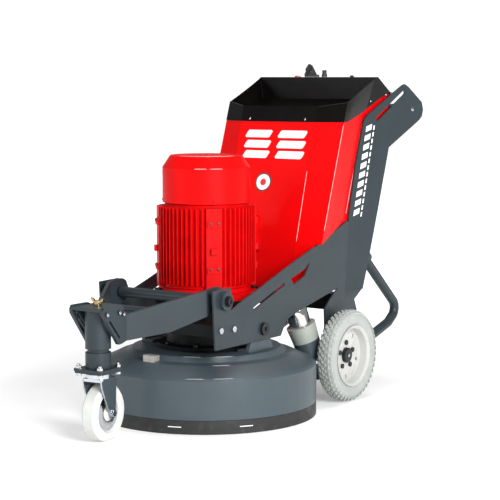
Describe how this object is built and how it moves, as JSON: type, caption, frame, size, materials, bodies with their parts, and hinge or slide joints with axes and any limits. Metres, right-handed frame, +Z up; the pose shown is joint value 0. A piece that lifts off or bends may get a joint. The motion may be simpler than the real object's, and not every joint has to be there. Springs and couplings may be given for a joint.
{
  "type": "concrete grinder",
  "caption": "Walk-behind planetary concrete floor grinder with a vertical motor, a skirted head, side plates, a cabinet and a folding front caster.",
  "frame": {"origin": "centre of the bounding box, on the floor", "axes": "+Z up, +Y to the rear along the length, -Y to the front caster, +X across the width"},
  "size_m": [0.74, 1.6002, 1.173],
  "materials": {
    "red_paint": "gloss red enamel",
    "slate_paint": "semi-gloss slate powder coat",
    "black_paint": "gloss black",
    "black_plastic": "matte",
    "red_plastic": "gloss",
    "black_rubber": "matte",
    "grey_rubber": "matte light grey",
    "grey_tyre": "non-marking light grey",
    "cream_paint": "gloss off-white",
    "black_steel": "black oxide",
    "zinc": "bright zinc",
    "white_nylon": "satin white",
    "brass": "bright",
    "stainless": "polished",
    "machined_steel": "machined",
    "segment_metal": "sintered",
    "grey_plastic": "satin"
  },
  "bodies": {
    "chassis": {"side_plate_right": "slate_paint", "side_plate_left": "slate_paint", "chassis_beams": "slate_paint", "frame_bolts": "zinc", "pivot_pins": "zinc", "guard_tubes": "slate_paint", "push_bar": "slate_paint", "hood": "red_paint", "top_cowl": "black_paint", "panel_fittings": "black_plastic", "top_fittings": "black_plastic", "inverter": "grey_plastic", "drive_motors": "black_paint"},
    "door": {"cabinet_door": "black_paint"},
    "estop": {"estop_button": "red_plastic"},
    "switch": {"main_switch": "black_plastic"},
    "head": {"head_cover": "slate_paint", "dust_skirt": "black_rubber", "dust_cuff": "grey_rubber", "dust_pipe": "stainless", "inspection_latch": "zinc", "sun_pulley": "machined_steel", "trunnion_brackets": "slate_paint", "reducer_housing": "slate_paint", "head_bearings": "machined_steel", "head_bolts": "zinc", "motor_frame": "red_paint", "motor_flange": "red_paint", "motor_cowl": "red_paint", "motor_stator": "machined_steel", "terminal_box": "red_paint"},
    "rotor": {"motor_rotor": "machined_steel", "motor_fan": "grey_plastic"},
    "drum": {"drum_base": "machined_steel", "drum_lid": "machined_steel", "drum_shaft": "machined_steel", "satellite_bearings": "machined_steel", "satellite_belts": "black_rubber"},
    "satellite_1": {"satellite_spindle_1": "machined_steel", "grinding_disc_1": "machined_steel", "diamond_segments_1": "segment_metal"},
    "satellite_2": {"satellite_spindle_2": "machined_steel", "grinding_disc_2": "machined_steel", "diamond_segments_2": "segment_metal"},
    "satellite_3": {"satellite_spindle_3": "machined_steel", "grinding_disc_3": "machined_steel", "diamond_segments_3": "segment_metal"},
    "wheel_right": {"tyre_right": "grey_tyre", "wheel_rim_right": "cream_paint", "wheel_hardware_right": "black_steel"},
    "wheel_left": {"tyre_left": "grey_tyre", "wheel_rim_left": "cream_paint", "wheel_hardware_left": "black_steel"},
    "support": {"support_arms": "slate_paint", "support_yoke": "slate_paint"},
    "clamp": {"clamp_wing": "brass"},
    "post": {"caster_post": "slate_paint", "caster_bolts": "zinc"},
    "fork": {"caster_fork": "zinc"},
    "caster": {"caster_wheel": "white_nylon"}
  },
  "joints": [
    {"name": "head_tilt", "type": "hinge", "parent": "chassis", "child": "head", "pos_m": [0, -0.1645, 0.302], "axis": [1, 0, 0], "range_deg": [-2, 2]},
    {"name": "drum_spin", "type": "hinge", "parent": "head", "child": "drum", "pos_m": [0, -0.1645, 0.06], "axis": [0, 0, 1], "continuous": true},
    {"name": "rotor_spin", "type": "hinge", "parent": "head", "child": "rotor", "pos_m": [0, -0.1645, 0.5], "axis": [0, 0, 1], "continuous": true},
    {"name": "satellite_1_spin", "type": "hinge", "parent": "drum", "child": "satellite_1", "pos_m": [0.235, -0.1645, 0.06], "axis": [0, 0, 1], "continuous": true},
    {"name": "satellite_2_spin", "type": "hinge", "parent": "drum", "child": "satellite_2", "pos_m": [-0.1175, 0.03902, 0.06], "axis": [0, 0, 1], "continuous": true},
    {"name": "satellite_3_spin", "type": "hinge", "parent": "drum", "child": "satellite_3", "pos_m": [-0.1175, -0.36802, 0.06], "axis": [0, 0, 1], "continuous": true},
    {"name": "wheel_right_spin", "type": "hinge", "parent": "chassis", "child": "wheel_right", "pos_m": [0.29, 0.2675, 0.16], "axis": [1, 0, 0], "continuous": true},
    {"name": "wheel_left_spin", "type": "hinge", "parent": "chassis", "child": "wheel_left", "pos_m": [-0.29, 0.2675, 0.16], "axis": [1, 0, 0], "continuous": true},
    {"name": "support_fold", "type": "hinge", "parent": "chassis", "child": "support", "pos_m": [0, -0.3875, 0.419], "axis": [-1, 0, 0], "range_deg": [0, 70]},
    {"name": "caster_height", "type": "slide", "parent": "support", "child": "post", "axis": [0, 0, 1], "range_m": [-0.06, 0.008]},
    {"name": "clamp_turn", "type": "hinge", "parent": "support", "child": "clamp", "pos_m": [0, -0.7335, 0.43], "axis": [0, 0, 1], "range_deg": [0, 180]},
    {"name": "caster_swivel", "type": "hinge", "parent": "post", "child": "fork", "pos_m": [0, -0.7335, 0.2], "axis": [0, 0, 1], "continuous": true},
    {"name": "caster_roll", "type": "hinge", "parent": "fork", "child": "caster", "pos_m": [-0.00287, -0.70867, 0.09], "axis": [0.9934, 0.1149, 0], "continuous": true},
    {"name": "door_swing", "type": "hinge", "parent": "chassis", "child": "door", "pos_m": [-0.216, 0.5586, 0.79], "axis": [0, 0.2873, 0.9578], "range_deg": [0, 110]},
    {"name": "estop_press", "type": "slide", "parent": "chassis", "child": "estop", "axis": [0, -0.5408, -0.8412], "range_m": [0, 0.005]},
    {"name": "switch_turn", "type": "hinge", "parent": "chassis", "child": "switch", "pos_m": [0.12, 0.5765, 1.098], "axis": [0, -0.5408, -0.8412], "range_deg": [0, 90]}
  ],
  "couplings": [
    {"joint": "rotor_spin", "follows": "drum_spin", "ratio": 7},
    {"joint": "satellite_1_spin", "follows": "drum_spin", "ratio": -1.9231},
    {"joint": "satellite_2_spin", "follows": "drum_spin", "ratio": -1.9231},
    {"joint": "satellite_3_spin", "follows": "drum_spin", "ratio": -1.9231}
  ]
}
